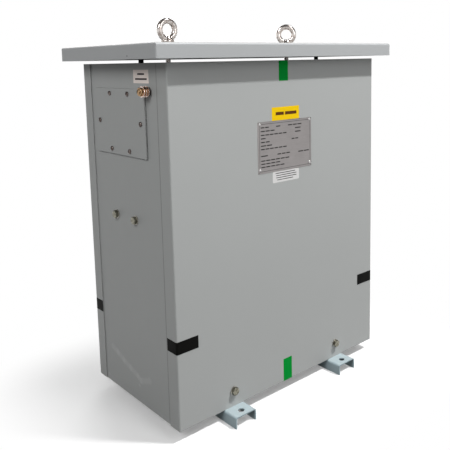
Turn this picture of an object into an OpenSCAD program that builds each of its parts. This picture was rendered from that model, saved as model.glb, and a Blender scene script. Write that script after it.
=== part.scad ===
// Ventilated sheet-steel enclosure of a dry-type transformer, on two channel feet.
// Millimetres. Z is up, the front cover faces -Y, and the origin lies on the floor
// under the middle of the lid.

/* [Enclosure] */
// Width over the front cover
body_w = 623; // [560:1:760]
// Depth over the front and rear covers
body_d = 340; // [300:1:420]
// Height of the covers and side panels
body_h = 750; // [700:5:900]
// Thickness of the cover and panel sheet
sheet = 2; // [1.5:0.5:3]
// Outside radius of the bends at the vertical corners
bend_r = 3.5; // [3:0.5:4.5]
// Width of the flange that each cover folds back along the sides
cover_flange = 34; // [28:1:52]
// Depth of the fold along the top edges of covers and panels
top_fold = 18; // [10:1:25]
// Clearance between parts that slide together
fit = 0.3; // [0.2:0.1:0.6]

/* [Lid] */
// Overhang of the lid past each side
lid_side = 38.5; // [15:0.5:60]
// Overhang of the lid past the front and the back
lid_front = 26.5; // [15:0.5:60]
// Height of the downturned rim
lid_rim = 30; // [20:1:50]
// Air gap between the body and the rim
lid_gap = 7; // [5:1:25]
// Thickness of the lid sheet
lid_sheet = 2; // [1.5:0.5:3]
// Width of the lip folded inwards under the rim
lid_lip = 10; // [6:1:12]
// Outside radius of the vertical corners of the rim
lid_corner = 3.5; // [3.5:0.5:12]
// Outside radius of the bend between the top and the rim
lid_bend = 5; // [3.5:0.5:8]
// Clearance between the side rails and the spacers under the lid
spacer_clear = 1.5; // [1:0.5:80]
// Distance of the spacers in front of the middle of the body
spacer_front = 15; // [0:1:25]
// Diameter of the spacers
spacer_d = 11; // [8:1:16]

/* [Frame] */
// Leg of the angle posts and rails
angle_leg = 30; // [26:1:40]
// Thickness of the angle posts and rails
angle_t = 3; // [2.5:0.5:5]
// Width of the channel that carries the lifting eyes
beam_w = 80; // [76:1:120]
// Height of the channel that carries the lifting eyes
beam_h = 30; // [20:1:40]
// Thickness of the channel that carries the lifting eyes
beam_t = 4; // [3:0.5:6]
// Height of the flat bars behind the side panels
brace_h = 40; // [30:1:60]
// Thickness of the flat bars behind the side panels
brace_t = 4; // [3:0.5:6]

/* [Base] */
// Thickness of the base pan
pan_t = 2.5; // [2:0.5:4]
// Height of the upstands of the base pan
pan_rim = 55; // [50:1:80]
// Width of the air opening in the base pan
vent_w = 240; // [160:5:260]
// Depth of the air opening in the base pan
vent_d = 240; // [160:5:260]
// Lap of the grille over the pan around the opening
grille_lap = 12; // [8:1:16]
// Thickness of the grille
grille_t = 1.5; // [1:0.5:3]
// Width of a slot of the grille
slot_w = 10; // [8:1:12]
// Steel left between the slots of the grille
slot_web = 10; // [8:1:16]

/* [Feet] */
// Distance between the centre lines of the feet
foot_pitch = 333; // [300:1:420]
// Width of a foot channel
foot_w = 57; // [46:1:70]
// Height of a foot channel
foot_h = 26; // [20:1:50]
// Thickness of a foot channel
foot_t = 3; // [2.5:0.5:5]
// Length of a foot beyond the body at each end
foot_out = 39.5; // [36:0.5:70]
// Distance from the body to the floor bolt holes
foot_hole_out = 22.5; // [18:0.5:26]
// Diameter of the floor bolt holes
foot_hole_d = 14.5; // [11:0.5:18]
// Outside radius of the folds of a foot
foot_bend = 6; // [5.5:0.5:8]

/* [Cover bolts] */
// Diameter of the hex bolts
bolt_d = 10; // [8:1:12]
// Width across the flats of the bolt heads and nuts
bolt_af = 16; // [15:1:18]
// Height of the bolt heads
bolt_head = 6.4; // [5:0.1:8]
// Diameter of the bolt washers
washer_d = 20; // [19:1:24]
// Thickness of the bolt washers
washer_t = 2; // [1:0.5:3]
// Height of the front and rear bolts above the lower edge of the body
bolt_z = 36; // [32:1:44]
// Distance of the side bolts below the upper edge of the body
side_bolt_down = 330; // [310:1:450]
// Distance between the two bolts of a side
side_bolt_pitch = 79; // [60:1:120]
// Distance of their middle behind the middle of the body
side_bolt_back = 8.5; // [0:0.5:16]

/* [Gland plate] */
// Width of the gland plate
gland_w = 204; // [190:1:220]
// Height of the gland plate
gland_h = 141; // [120:1:150]
// Thickness of the gland plate
gland_t = 3; // [2:0.5:4]
// Thickness of the gasket behind it
gasket_t = 1; // [0.5:0.5:2]
// Share of the free width between the covers' flanges that lies behind the plate
gland_rear_share = 0.53; // [0.3:0.01:0.7]
// Distance of the plate's centre below the upper edge of the body
gland_down = 123; // [110:1:180]
// Width of the cable opening behind the plate
cable_w = 148; // [100:1:150]
// Height of the cable opening behind the plate
cable_h = 88; // [60:1:90]
// Distance of the two outer screws from the plate's sides
screw_side = 17; // [10:1:20]
// Distance of the other screws from the plate's upper and lower edges
screw_edge = 10.5; // [8:0.5:16]
// Distance between the screws along the upper and lower edges
screw_pitch = 74; // [60:1:90]
// Diameter of the gland plate screws
screw_d = 6; // [4:0.5:6]

/* [Earth stud] */
// Diameter of the earth stud
stud_d = 10; // [8:1:12]
// Length of the stud outside the panel
stud_out = 26; // [26:1:40]
// Clearance between the gland plate and the stud's washers
stud_clear = 2.5; // [2:0.5:8]
// Distance of the stud below the upper edge of the body
stud_down = 56; // [45:1:60]
// Diameter of the stud's brass washers
stud_washer_d = 22; // [20:1:24]
// Thickness of the stud's brass washers
stud_washer_t = 2; // [1:0.5:2.5]
// Width across the flats of the stud's nuts
stud_af = 16; // [15:1:18]
// Thickness of the stud's inner and outer nuts
stud_nut = 5.5; // [4:0.5:6]
// Thickness of the thin nuts between the washers
stud_thin_nut = 3.2; // [2:0.2:3.2]

/* [Lifting eyes] */
// Distance of the eyes behind the middle of the body
eye_back = 11; // [0:1:16]
// Distance between the two lifting eyes
eye_pitch = 369; // [320:1:420]
// Outside diameter of the ring
ring_d = 53; // [50:1:60]
// Inside diameter of the ring
ring_hole = 26; // [24:1:30]
// Diameter of the collar
collar_d = 30; // [26:1:34]
// Height of the collar
collar_h = 5; // [4:0.5:8]
// Diameter of the threaded shank
shank_d = 12; // [10:1:14]
// Distance by which the left eye stands off its washer
left_eye_raise = 6; // [0:0.5:10]
// Turn of the left ring about the vertical, in degrees
left_eye_turn = 0; // [-90:1:90]
// Turn of the right ring about the vertical, in degrees
right_eye_turn = -38; // [-90:1:90]
// Diameter of the washer under an eye
eye_washer_d = 30; // [28:1:36]
// Thickness of the washer under an eye
eye_washer_t = 1.5; // [1:0.5:3]
// Width across the flats of the nuts under the beam
eye_nut_af = 18; // [17:1:22]
// Thickness of the nuts under the beam
eye_nut_t = 10; // [8:1:12]

/* [Rating plate] */
// Width of the rating plate
plate_w = 168; // [120:1:200]
// Height of the rating plate
plate_h = 114; // [80:1:130]
// Thickness of the rating plate
plate_t = 1; // [0.5:0.5:2]
// Distance of the plate's centre below the upper edge of the body
plate_down = 189; // [150:1:280]

/* [Hidden] */

$fn = 48;

// Outer face of the side panels, and the faces that the frame stands against
panel_x = body_w / 2 - sheet;
frame_x = panel_x - sheet;
frame_y = body_d / 2 - sheet;

// Levels
body_z = foot_h;
body_top = body_z + body_h;
rail_top = body_top - sheet;
rim_z = body_top + lid_gap;
lid_top = rim_z + lid_rim;
lid_under = lid_top - lid_sheet;
pan_top = body_z + pan_t;
side_bolt_z = body_top - side_bolt_down;
gland_z = body_top - gland_down;
stud_z = body_top - stud_down;
plate_z = body_top - plate_down;

// Clear lengths between the legs of the corner posts
span_x = 2 * (frame_x - angle_leg);
span_y = 2 * (frame_y - angle_leg);

// The stud and the gland plate beside it share the width between the covers' flanges
flange_edge = body_d / 2 - cover_flange;
side_free = 2 * flange_edge - stud_washer_d - stud_clear - gland_w;
gland_y = flange_edge - gland_rear_share * side_free - gland_w / 2;
stud_y = gland_y - gland_w / 2 - stud_clear - stud_washer_d / 2;

lid_w = body_w + 2 * lid_side;
lid_d = body_d + 2 * lid_front;

// Clearance holes
bolt_hole_d = bolt_d + 1;
screw_hole_d = screw_d + 0.6;
stud_hole_d = stud_d + 1;
shank_hole_d = shank_d + 1;

// Small overlap that fuses the pieces of one solid
bite = 0.5;

// Colours of the finishes
paint = [0.66, 0.67, 0.67];
channel_paint = [0.68, 0.72, 0.74];
zinc = [0.78, 0.77, 0.74];
brass = [0.72, 0.58, 0.32];
frame_steel = [0.25, 0.25, 0.24];

module rounded(w, d, r) {
    square([w - 2 * r, d], center = true);
    square([w, d - 2 * r], center = true);
    for (x = [-1, 1], y = [-1, 1])
        translate([x * (w / 2 - r), y * (d / 2 - r)])
            circle(r);
}

// Rod along +X from the origin
module rod_x(d, l) {
    rotate([0, 90, 0])
        cylinder(d = d, h = l);
}

// Hexagon along +X from the origin, given across its flats
module hex_x(af, l) {
    rotate([0, 90, 0])
        cylinder(d = af / cos(30), h = l, $fn = 6);
}

// Hexagon upwards from the origin, given across its flats
module hex_z(af, h) {
    cylinder(d = af / cos(30), h = h, $fn = 6);
}

// Hex bolt along +X with its washer's seat at the origin and its head towards -X
module hex_bolt(shank) {
    translate([-washer_t, 0, 0])
        rod_x(washer_d, washer_t);
    translate([-washer_t - bolt_head, 0, 0])
        hex_x(bolt_af, bolt_head + bite);
    rod_x(bolt_d, shank);
}

// Section of a folded cover in plan, open towards +Y
module cover_section() {
    intersection() {
        difference() {
            rounded(body_w, body_d, bend_r);
            rounded(body_w - 2 * sheet, body_d - 2 * sheet, bend_r - sheet);
        }
        translate([-body_w / 2, -body_d / 2])
            square([body_w, cover_flange]);
    }
}

// Places its children at the two bolts along the lower edge of a cover
module at_cover_bolts() {
    for (x = [-1, 1])
        translate([x * foot_pitch / 2, 0, body_z + bolt_z])
            rotate([0, 0, 90])
                children();
}

// Places its children at the two bolts of the left side
module at_side_bolts() {
    for (y = [-1, 1])
        translate([0, side_bolt_back + y * side_bolt_pitch / 2, side_bolt_z])
            children();
}

module cover() {
    color(paint)
    difference() {
        union() {
            translate([0, 0, body_z])
                linear_extrude(body_h)
                    cover_section();
            translate([-span_x / 2 + fit, -frame_y - bite, rail_top])
                cube([span_x - 2 * fit, top_fold + bite, sheet]);
        }
        translate([0, -body_d / 2 - 1, 0])
            at_cover_bolts()
                rod_x(bolt_hole_d, sheet + 2);
    }
}

module front_cover() {
    cover();
}

module rear_cover() {
    rotate([0, 0, 180])
        cover();
}

// Distance by which a side panel stops short of the covers' faces
panel_short = 3;

// Flat panel with a fold along its top and two bolt holes, on the left side
module side_panel() {
    panel_l = 2 * (frame_y - panel_short);
    difference() {
        union() {
            translate([-panel_x, -panel_l / 2, body_z])
                cube([sheet, panel_l, body_h]);
            translate([-frame_x - bite, -span_y / 2 + fit, rail_top])
                cube([top_fold + bite, span_y - 2 * fit, sheet]);
        }
        translate([-panel_x - 1, 0, 0])
            at_side_bolts()
                rod_x(bolt_hole_d, sheet + 2);
    }
}

// Places its children at the six screws of the gland plate
module at_gland_screws() {
    side = gland_w / 2 - screw_side;
    rise = gland_h / 2 - screw_edge;
    points = [[-side, 0], [side, 0],
        for (y = [-1, 1], z = [-1, 1]) [y * screw_pitch / 2, z * rise]];
    for (p = points)
        translate([0, gland_y + p[0], gland_z + p[1]])
            children();
}

// Cuts the cable opening through a sheet of thickness t with its outer face at x
module cable_opening(x, t) {
    translate([x - 1, gland_y - cable_w / 2, gland_z - cable_h / 2])
        cube([t + 2, cable_w, cable_h]);
}

module at_stud() {
    translate([-panel_x, stud_y, stud_z])
        children();
}

module left_side_panel() {
    color(paint)
    difference() {
        side_panel();
        cable_opening(-panel_x, sheet);
        translate([-panel_x - 1, 0, 0])
            at_gland_screws()
                rod_x(screw_hole_d, sheet + 2);
        at_stud()
            translate([-1, 0, 0])
                rod_x(stud_hole_d, sheet + 2);
    }
}

module right_side_panel() {
    color(paint)
    mirror([1, 0, 0])
        side_panel();
}

// Block with its upper edges bent and its vertical corners rounded, base at the origin
module bent_block(w, d, h, corner, bend) {
    intersection() {
        linear_extrude(h)
            rounded(w, d, corner);
        rotate([90, 0, 0])
            linear_extrude(d, center = true)
                rounded(w, 2 * h, bend);
        rotate([90, 0, 90])
            linear_extrude(w, center = true)
                rounded(d, 2 * h, bend);
    }
}

module at_eyes() {
    for (x = [-1, 1])
        translate([x * eye_pitch / 2, eye_back, 0])
            children();
}

// Pan with the opening inside the lip left free for the air
module lid() {
    color(paint)
    difference() {
        translate([0, 0, rim_z])
            bent_block(lid_w, lid_d, lid_rim, lid_corner, lid_bend);
        translate([0, 0, rim_z + lid_sheet])
            bent_block(lid_w - 2 * lid_sheet, lid_d - 2 * lid_sheet, lid_rim - 2 * lid_sheet,
                lid_corner - lid_sheet, lid_bend - lid_sheet);
        translate([0, 0, rim_z - 1])
            linear_extrude(lid_sheet + 2)
                square([lid_w - 2 * lid_lip, lid_d - 2 * lid_lip], center = true);
        at_eyes()
            translate([0, 0, lid_under - 1])
                cylinder(d = shank_hole_d, h = lid_sheet + 2);
    }
}

// Angle along +Z with its outer corner at the origin and its legs towards +X and +Y
module angle_bar(l) {
    linear_extrude(l)
        difference() {
            square(angle_leg);
            translate([angle_t, angle_t])
                square(angle_leg);
        }
}

// side and end are -1 or 1: left or right, front or rear
module corner_post(side, end) {
    color(frame_steel)
    translate([side * frame_x, end * frame_y, pan_top])
        mirror([side > 0 ? 1 : 0, 0, 0])
            mirror([0, end > 0 ? 1 : 0, 0])
                angle_bar(rail_top - pan_top);
}

module corner_post_front_left() {
    corner_post(-1, -1);
}

module corner_post_front_right() {
    corner_post(1, -1);
}

module corner_post_rear_left() {
    corner_post(-1, 1);
}

module corner_post_rear_right() {
    corner_post(1, 1);
}

// Angle along the X axis under the front edge's fold, its level leg on top
module front_rail(l) {
    translate([-l / 2, -frame_y, rail_top])
        rotate([0, 90, 0])
            angle_bar(l);
}

module top_rail_front() {
    color(frame_steel)
        front_rail(span_x);
}

module top_rail_rear() {
    color(frame_steel)
    rotate([0, 0, 180])
        front_rail(span_x);
}

// Angle along the Y axis under the left edge's fold, its level leg on top
module side_rail() {
    translate([-frame_x, span_y / 2, rail_top])
        rotate([90, 0, 0])
            mirror([0, 1, 0])
                angle_bar(span_y);
}

module top_rail_left() {
    color(frame_steel)
        side_rail();
}

module top_rail_right() {
    color(frame_steel)
    rotate([0, 0, 180])
        side_rail();
}

// Level on which the lifting beam meets the underside of the side rails
beam_top = rail_top - angle_t;

// Channel from side to side, open downwards, that carries the eyes and the lid's spacers
module lifting_beam() {
    beam_l = 2 * (frame_x - angle_t);
    color(frame_steel)
    difference() {
        translate([-beam_l / 2, -beam_w / 2, beam_top - beam_h])
            cube([beam_l, beam_w, beam_h]);
        translate([-beam_l / 2 - 1, -beam_w / 2 + beam_t, beam_top - beam_h - 1])
            cube([beam_l + 2, beam_w - 2 * beam_t, beam_h - beam_t + 1]);
        at_eyes()
            translate([0, 0, beam_top - beam_t - 1])
                cylinder(d = shank_hole_d, h = beam_t + 2);
    }
}

module lid_spacers() {
    spacer_x = span_x / 2 - spacer_clear - spacer_d / 2;
    color(frame_steel)
    for (x = [-1, 1])
        translate([x * spacer_x, -spacer_front, beam_top])
            cylinder(d = spacer_d, h = lid_under - beam_top);
}

// Flat bar between the posts, with the weld nuts of the side bolts
module side_brace() {
    difference() {
        union() {
            translate([-frame_x, -span_y / 2, side_bolt_z - brace_h / 2])
                cube([brace_t, span_y, brace_h]);
            translate([-frame_x, 0, 0])
                at_side_bolts()
                    hex_x(bolt_af, brace_t + bolt_head);
        }
        translate([-frame_x - 1, 0, 0])
            at_side_bolts()
                rod_x(bolt_d + fit, brace_t + bolt_head + 2);
    }
}

module side_brace_left() {
    color(frame_steel)
        side_brace();
}

module side_brace_right() {
    color(frame_steel)
    mirror([1, 0, 0])
        side_brace();
}

// Half of the pan's upstands: the front one with its weld nuts, and the left one
module pan_upstands() {
    translate([-span_x / 2 + fit, -frame_y, body_z])
        cube([span_x - 2 * fit, pan_t, pan_rim]);
    translate([-frame_x, -span_y / 2 + fit, body_z])
        cube([pan_t, span_y - 2 * fit, pan_rim]);
    translate([0, -frame_y, 0])
        at_cover_bolts()
            hex_x(bolt_af, pan_t + bolt_head);
}

module base_pan() {
    color(paint)
    difference() {
        union() {
            translate([-frame_x, -frame_y, body_z])
                cube([2 * frame_x, 2 * frame_y, pan_t]);
            pan_upstands();
            rotate([0, 0, 180])
                pan_upstands();
        }
        for (turn = [0, 180])
            rotate([0, 0, turn])
                translate([0, -frame_y - 1, 0])
                    at_cover_bolts()
                        rod_x(bolt_d + fit, pan_t + bolt_head + 2);
        translate([-vent_w / 2, -vent_d / 2, body_z - 1])
            cube([vent_w, vent_d, pan_t + 2]);
    }
}

// Slotted sheet over the pan's air opening, with two rows of slots
module base_grille() {
    pitch = slot_w + slot_web;
    slot_l = (vent_d - 3 * slot_web) / 2;
    count = floor((vent_w - slot_web) / pitch);
    color(paint)
    translate([0, 0, pan_top])
        difference() {
            translate([-vent_w / 2 - grille_lap, -vent_d / 2 - grille_lap, 0])
                cube([vent_w + 2 * grille_lap, vent_d + 2 * grille_lap, grille_t]);
            for (i = [0 : count - 1], y = [-1, 1])
                translate([(i - (count - 1) / 2) * pitch, y * (slot_l + slot_web) / 2, -1])
                    linear_extrude(grille_t + 2)
                        rounded(slot_w, slot_l, slot_w / 2 - 0.01);
        }
}

// Inverted channel along Y with rounded folds and a bolt hole at each end
module foot() {
    foot_l = body_d + 2 * foot_out;
    color(channel_paint)
    difference() {
        rotate([90, 0, 0])
            linear_extrude(foot_l, center = true)
                difference() {
                    rounded(foot_w, 2 * foot_h, foot_bend);
                    rounded(foot_w - 2 * foot_t, 2 * (foot_h - foot_t), foot_bend - foot_t);
                    translate([-foot_w, -2 * foot_h])
                        square([2 * foot_w, 2 * foot_h]);
                }
        for (y = [-1, 1])
            translate([0, y * (body_d / 2 + foot_hole_out), 0])
                cylinder(d = foot_hole_d, h = foot_h + 1);
    }
}

module foot_left() {
    translate([-foot_pitch / 2, 0, 0])
        foot();
}

module foot_right() {
    translate([foot_pitch / 2, 0, 0])
        foot();
}

// Outer faces of the gasket and of the gland plate
gasket_x = -panel_x - gasket_t;
gland_x = gasket_x - gland_t;

// Plate of thickness t with its outer face at x, over a left side's screw holes
module screwed_plate(x, t) {
    difference() {
        translate([x, gland_y - gland_w / 2, gland_z - gland_h / 2])
            cube([t, gland_w, gland_h]);
        translate([x - 1, 0, 0])
            at_gland_screws()
                rod_x(screw_hole_d, t + 2);
    }
}

module gland_gasket() {
    color("black")
    difference() {
        screwed_plate(gasket_x, gasket_t);
        cable_opening(gasket_x, gasket_t);
    }
}

module gland_plate() {
    color(paint)
        screwed_plate(gland_x, gland_t);
}

// Cheese heads with a cross recess each
module gland_screws() {
    head_h = 0.6 * screw_d;
    head_d = 1.7 * screw_d;
    color(zinc)
    translate([gland_x, 0, 0])
        at_gland_screws()
            difference() {
                union() {
                    translate([-head_h, 0, 0])
                        rod_x(head_d, head_h);
                    rod_x(screw_d, gland_t + gasket_t + sheet + screw_d);
                }
                for (turn = [45, 135])
                    rotate([turn, 0, 0])
                        translate([-head_h - 1, -screw_d / 2, -screw_d / 12])
                            cube([1 + head_h / 2, screw_d, screw_d / 6]);
            }
}

// Threaded bar with a hex head inside the panel
module earth_stud() {
    color(brass)
    at_stud() {
        translate([-stud_out, 0, 0])
            rod_x(stud_d, stud_out + sheet + bite);
        translate([sheet, 0, 0])
            hex_x(stud_af, stud_nut);
    }
}

// From the panel outwards: a nut, then three washers with thin nuts between, then a nut
stud_step = stud_washer_t + stud_thin_nut;

// Places its children, a disc of thickness t towards the panel, with their outer faces
// at the given distances from the panel, and bores them for the stud
module on_stud(faces, t) {
    color(brass)
    at_stud()
        for (face = faces)
            translate([-face, 0, 0])
                difference() {
                    children();
                    translate([-1, 0, 0])
                        rod_x(stud_d + fit, t + 2);
                }
}

module earth_washers() {
    first = stud_nut + stud_washer_t;
    on_stud([first, first + stud_step, first + 2 * stud_step], stud_washer_t)
        rod_x(stud_washer_d, stud_washer_t);
}

module earth_nuts() {
    first = stud_nut + stud_step;
    on_stud([stud_nut, first + 2 * stud_step - stud_thin_nut + stud_nut], stud_nut)
        hex_x(stud_af, stud_nut);
    on_stud([first, first + stud_step], stud_thin_nut)
        hex_x(stud_af, stud_thin_nut);
}

// Top of the washers on the lid, on which the collars seat
eye_seat = lid_top + eye_washer_t;

// Forged eye bolt with its collar's seat at the origin and its ring along X
module eye_bolt() {
    section = (ring_d - ring_hole) / 2;
    color(zinc) {
        translate([0, 0, ring_d / 2 + bite])
            rotate([90, 0, 0])
                rotate_extrude()
                    translate([(ring_d - section) / 2, 0])
                        circle(d = section, $fn = 32);
        cylinder(d = collar_d, h = collar_h);
        translate([0, 0, collar_h - bite])
            cylinder(d1 = collar_d - 4, d2 = section + 1, h = section - collar_h + 1);
        translate([0, 0, -(eye_seat - beam_top + beam_t + 1.5 * eye_nut_t)])
            cylinder(d = shank_d, h = eye_seat - beam_top + beam_t + 1.5 * eye_nut_t + bite);
    }
}

module lifting_eye_left() {
    translate([-eye_pitch / 2, eye_back, eye_seat + left_eye_raise])
        rotate([0, 0, left_eye_turn])
            eye_bolt();
}

module lifting_eye_right() {
    translate([eye_pitch / 2, eye_back, eye_seat])
        rotate([0, 0, right_eye_turn])
            eye_bolt();
}

module eye_washers() {
    color(zinc)
    at_eyes()
        translate([0, 0, lid_top])
            difference() {
                cylinder(d = eye_washer_d, h = eye_washer_t);
                translate([0, 0, -1])
                    cylinder(d = shank_d + fit, h = eye_washer_t + 2);
            }
}

module eye_nuts() {
    color(zinc)
    at_eyes()
        translate([0, 0, beam_top - beam_t - eye_nut_t])
            difference() {
                hex_z(eye_nut_af, eye_nut_t);
                translate([0, 0, -1])
                    cylinder(d = shank_d + fit, h = eye_nut_t + 2);
            }
}

module cover_bolts() {
    color(zinc)
    translate([0, -body_d / 2, 0])
        at_cover_bolts()
            hex_bolt(sheet + pan_t + bolt_head + 3);
}

module front_cover_bolts() {
    cover_bolts();
}

module rear_cover_bolts() {
    rotate([0, 0, 180])
        cover_bolts();
}

module side_bolts() {
    color(zinc)
    translate([-panel_x, 0, 0])
        at_side_bolts()
            hex_bolt(sheet + brace_t + bolt_head + 3);
}

module left_side_bolts() {
    side_bolts();
}

module right_side_bolts() {
    mirror([1, 0, 0])
        side_bolts();
}

module rating_plate() {
    color("silver")
    translate([0, -body_d / 2, plate_z])
        rotate([90, 0, 0])
            linear_extrude(plate_t)
                rounded(plate_w, plate_h, 2);
}

front_cover();
rear_cover();
left_side_panel();
right_side_panel();
lid();
base_pan();
base_grille();
foot_left();
foot_right();
corner_post_front_left();
corner_post_front_right();
corner_post_rear_left();
corner_post_rear_right();
top_rail_front();
top_rail_rear();
top_rail_left();
top_rail_right();
lifting_beam();
lid_spacers();
side_brace_left();
side_brace_right();
gland_gasket();
gland_plate();
gland_screws();
earth_stud();
earth_washers();
earth_nuts();
lifting_eye_left();
lifting_eye_right();
eye_washers();
eye_nuts();
front_cover_bolts();
rear_cover_bolts();
left_side_bolts();
right_side_bolts();
rating_plate();
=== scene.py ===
from math import cos, pi, radians, sin, sqrt, tan

import bpy
from mathutils import Euler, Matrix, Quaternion, Vector


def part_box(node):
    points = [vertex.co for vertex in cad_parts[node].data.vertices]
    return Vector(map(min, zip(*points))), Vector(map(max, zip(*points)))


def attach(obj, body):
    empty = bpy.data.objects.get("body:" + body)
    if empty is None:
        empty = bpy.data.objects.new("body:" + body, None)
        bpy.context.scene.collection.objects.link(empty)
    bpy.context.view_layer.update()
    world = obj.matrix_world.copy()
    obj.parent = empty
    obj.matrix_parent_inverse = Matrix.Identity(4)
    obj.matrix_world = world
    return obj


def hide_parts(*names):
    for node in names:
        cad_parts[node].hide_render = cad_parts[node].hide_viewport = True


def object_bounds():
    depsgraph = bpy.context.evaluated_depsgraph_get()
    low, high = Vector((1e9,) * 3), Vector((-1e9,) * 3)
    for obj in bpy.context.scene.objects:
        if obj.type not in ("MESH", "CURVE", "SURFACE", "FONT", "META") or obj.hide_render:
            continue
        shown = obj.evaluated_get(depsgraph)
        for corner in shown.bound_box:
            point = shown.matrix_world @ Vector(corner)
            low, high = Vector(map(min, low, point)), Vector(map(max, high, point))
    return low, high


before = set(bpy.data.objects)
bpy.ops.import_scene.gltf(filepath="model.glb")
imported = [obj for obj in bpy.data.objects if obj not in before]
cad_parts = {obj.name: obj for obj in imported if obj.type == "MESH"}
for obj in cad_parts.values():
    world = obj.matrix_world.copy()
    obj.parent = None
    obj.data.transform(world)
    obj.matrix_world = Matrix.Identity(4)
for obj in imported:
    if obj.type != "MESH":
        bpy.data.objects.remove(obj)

cad_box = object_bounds()


# Camera: a hand-held view from the front left, at the level of the lid. The picture is 450 pixels
# wide, and the lens and its two shifts put the body where the photograph has it.
PICTURE = 450
LENS_PIXELS, LENS_CENTRE, SENSOR = 616.1, (251.0, 145.6), 36
STANDS_AT = (-0.96225, -1.15275, 0.77525)
DIPPED, TURNED, ROLLED = 7.81, -41.17, -1.16

bpy.ops.object.select_all(action="DESELECT")
bpy.ops.object.camera_add(location=STANDS_AT)
camera = bpy.context.object
camera.name = "camera"
camera.rotation_mode = "QUATERNION"
looking = Euler((radians(90 - DIPPED), 0, radians(TURNED))).to_quaternion()
camera.rotation_quaternion = looking @ Quaternion((0, 0, 1), radians(ROLLED))
camera.data.sensor_width = SENSOR
camera.data.lens = SENSOR * LENS_PIXELS / PICTURE
camera.data.shift_x = (PICTURE / 2 - LENS_CENTRE[0]) / PICTURE
camera.data.shift_y = (LENS_CENTRE[1] - PICTURE / 2) / PICTURE
camera.data.clip_start = 0.02
bpy.context.scene.camera = camera
bpy.context.scene.view_settings.view_transform = "Standard"


# Feet: two inverted channels, folded from 3 mm steel and sprayed a paler, bluer grey than the
# enclosure, with a floor bolt hole at each end. They are welded under the base pan.
MM = 0.001


def wire(tree, kind, feeds=None, **settings):
    """Adds a node to the tree. Each feed is a plain value or another node's output."""
    made = tree.nodes.new("ShaderNode" + kind)
    for name, value in settings.items():
        setattr(made, name, value)
    for name, feed in (feeds or {}).items():
        if isinstance(feed, bpy.types.NodeSocket):
            tree.links.new(feed, made.inputs[name])
        else:
            made.inputs[name].default_value = feed
    return made


def maths(tree, operation, *values):
    """One sum on numbers, with plain values or outputs, and its result's output."""
    return wire(tree, "Math", dict(enumerate(values)), operation=operation).outputs[0]


def noise(tree, place, scale, detail=2.0, roughness=0.5):
    """The strength of a cloudy noise, with scale cells to a metre."""
    feeds = {"Vector": place, "Scale": scale, "Detail": detail, "Roughness": roughness}
    return wire(tree, "TexNoise", feeds).outputs["Fac"]


def ramp(tree, value, low, high, to_low=0.0, to_high=1.0):
    """Moves a value from one range to another, smoothly and without passing its ends."""
    feeds = {"Value": value, "From Min": low, "From Max": high, "To Min": to_low, "To Max": to_high}
    return wire(tree, "MapRange", feeds, interpolation_type="SMOOTHSTEP").outputs["Result"]


def tinted(tree, share, under, over):
    """Lays one colour over another by a share from 0 to 1."""
    mix = wire(tree, "Mix", {"Factor": share}, data_type="RGBA")
    for name, colour in (("A", under), ("B", over)):
        socket = [s for s in mix.inputs if s.name == name and s.type == "RGBA"][0]
        if isinstance(colour, bpy.types.NodeSocket):
            tree.links.new(colour, socket)
        else:
            socket.default_value = colour
    return [s for s in mix.outputs if s.type == "RGBA"][0]


def shade(red, green, blue):
    """A colour as a paint card gives it, 0 to 255, in the linear values of a shader."""
    parts = [c / 255 for c in (red, green, blue)]
    return (*[p / 12.92 if p < 0.04045 else ((p + 0.055) / 1.055) ** 2.4 for p in parts], 1)


def new_group(name, takes, gives):
    """A group with named inputs, each with its usual value, and named outputs."""
    kinds = {float: "NodeSocketFloat", tuple: "NodeSocketColor", Vector: "NodeSocketVector"}
    tree = bpy.data.node_groups.new(name, "ShaderNodeTree")
    for label, usual in takes.items():
        tree.interface.new_socket(name=label, in_out="INPUT", socket_type=kinds[type(usual)])
    for label, usual in gives.items():
        tree.interface.new_socket(name=label, in_out="OUTPUT", socket_type=kinds[type(usual)])
    for socket in tree.interface.items_tree:
        if socket.in_out == "INPUT":
            socket.default_value = takes[socket.name]
    return tree, tree.nodes.new("NodeGroupInput").outputs, tree.nodes.new("NodeGroupOutput").inputs


# Sprayed film: the fine skin of a cured coat, its uneven tone and the dust that lies on it. Each
# pattern has its own number of cells to a metre.
TONE_CELLS, DUST_CELLS, POLISH_CELLS, SKIN_CELLS, SWAY_CELLS = 4.5, 95.0, 38.0, 520.0, 5.5
LEVEL_FROM, LEVEL_FULLY = 0.55, 0.95
DUST_COLOUR, DUST_DULLS, POLISH_VARIES = shade(176, 170, 160), 0.35, 0.16
paint_film, gets, sends = new_group(
    "paint_film",
    {"Color": shade(165, 168, 167), "Mottle": 0.04, "Dust": 0.3, "Peel": 0.012, "Sway": 0.25,
     "Shine": 0.45},
    {"Color": shade(165, 168, 167), "Roughness": 0.45, "Height": 0.0})
place = wire(paint_film, "TexCoord").outputs["Object"]
facing = wire(paint_film, "SeparateXYZ", {0: wire(paint_film, "NewGeometry").outputs["Normal"]})
clouds = noise(paint_film, place, TONE_CELLS, 4.0, 0.6)
specks = noise(paint_film, place, DUST_CELLS, 3.0, 0.7)
lying = maths(paint_film, "MULTIPLY",
              ramp(paint_film, facing.outputs["Z"], LEVEL_FROM, LEVEL_FULLY),
              ramp(paint_film, specks, 0.35, 0.75, 0.35, 1.0))
settled = maths(paint_film, "MULTIPLY", lying, gets["Dust"])
tone = maths(paint_film, "ADD", 1.0, maths(
    paint_film, "MULTIPLY", maths(paint_film, "SUBTRACT", clouds, 0.5), gets["Mottle"]))
toned = wire(paint_film, "HueSaturation", {"Value": tone, "Color": gets["Color"]})
paint_film.links.new(tinted(paint_film, settled, toned.outputs[0], DUST_COLOUR), sends["Color"])
rubbed = maths(paint_film, "MULTIPLY", maths(
    paint_film, "SUBTRACT", noise(paint_film, place, POLISH_CELLS, 4.0, 0.65), 0.5), POLISH_VARIES)
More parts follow.
